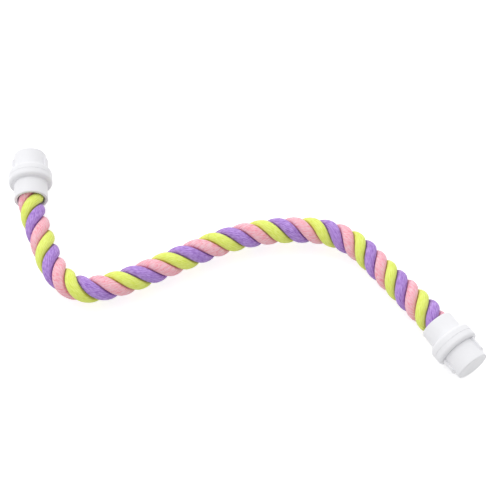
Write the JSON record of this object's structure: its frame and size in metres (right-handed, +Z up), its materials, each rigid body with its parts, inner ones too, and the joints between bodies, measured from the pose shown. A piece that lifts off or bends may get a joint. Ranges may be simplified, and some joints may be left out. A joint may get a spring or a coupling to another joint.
{
  "type": "bendable rope bird perch",
  "caption": "Bendable perch for a bird cage: coloured strands twisted round a wire in an S curve, with a white screw clamp at each end.",
  "frame": {"origin": "centre of the box's underside, where the perch lies on the floor on its clamp rings", "axes": "+X along the perch towards its right end in the picture, +Y away from the viewer, +Z up"},
  "size_m": [0.4208, 0.224, 0.0396],
  "materials": {
    "steel_wire": "drawn",
    "wire_coating": "matte",
    "pink_fabric": "knitted cover",
    "lime_fabric": "knitted cover",
    "purple_fabric": "knitted cover",
    "white_plastic": "satin moulded",
    "paper_tape": "paper tape",
    "glue": "set hot glue"
  },
  "bodies": {
    "rope": {"core_wire": "steel_wire", "wire_coating": "wire_coating", "strand_pink": "pink_fabric", "strand_lime": "lime_fabric", "strand_purple": "purple_fabric"},
    "left_end": {"left_socket": "white_plastic", "left_end_tape": "paper_tape", "left_glue_plug": "glue"},
    "left_ring": {"left_clamp_ring": "white_plastic"},
    "left_cap": {"left_cap": "white_plastic"},
    "right_end": {"right_socket": "white_plastic", "right_end_tape": "paper_tape", "right_glue_plug": "glue"},
    "right_ring": {"right_clamp_ring": "white_plastic"},
    "right_cap": {"right_cap": "white_plastic"}
  },
  "joints": [
    {"name": "left_bend", "type": "hinge", "parent": "rope", "child": "left_end", "pos_m": [-0.13709, -0.02921, 0.0198], "axis": [0, 0, 1], "range_deg": [-25, 45], "deforming": ["core_wire", "wire_coating", "strand_pink", "strand_lime", "strand_purple"]},
    {"name": "left_ring_travel", "type": "slide", "parent": "left_end", "child": "left_ring", "axis": [-0.1167, 0.9932, 0], "range_m": [0, 0.0135]},
    {"name": "left_cap_turn", "type": "hinge", "parent": "left_ring", "child": "left_cap", "pos_m": [-0.1905, 0.08779, 0.0198], "axis": [-0.1167, 0.9932, 0], "range_deg": [0, 1620]},
    {"name": "right_bend", "type": "hinge", "parent": "rope", "child": "right_end", "pos_m": [0.09249, 0.02274, 0.0198], "axis": [0, 0, 1], "range_deg": [-25, 45], "deforming": ["core_wire", "wire_coating", "strand_pink", "strand_lime", "strand_purple"]},
    {"name": "right_ring_travel", "type": "slide", "parent": "right_end", "child": "right_ring", "axis": [0.565, -0.8251, 0], "range_m": [0, 0.0135]},
    {"name": "right_cap_turn", "type": "hinge", "parent": "right_ring", "child": "right_cap", "pos_m": [0.18573, -0.08525, 0.0198], "axis": [0.565, -0.8251, 0], "range_deg": [0, 1620]}
  ],
  "couplings": [
    {"joint": "left_ring_travel", "follows": "left_cap_turn", "m_per_rad": 0.00047746},
    {"joint": "right_ring_travel", "follows": "right_cap_turn", "m_per_rad": 0.00047746}
  ]
}
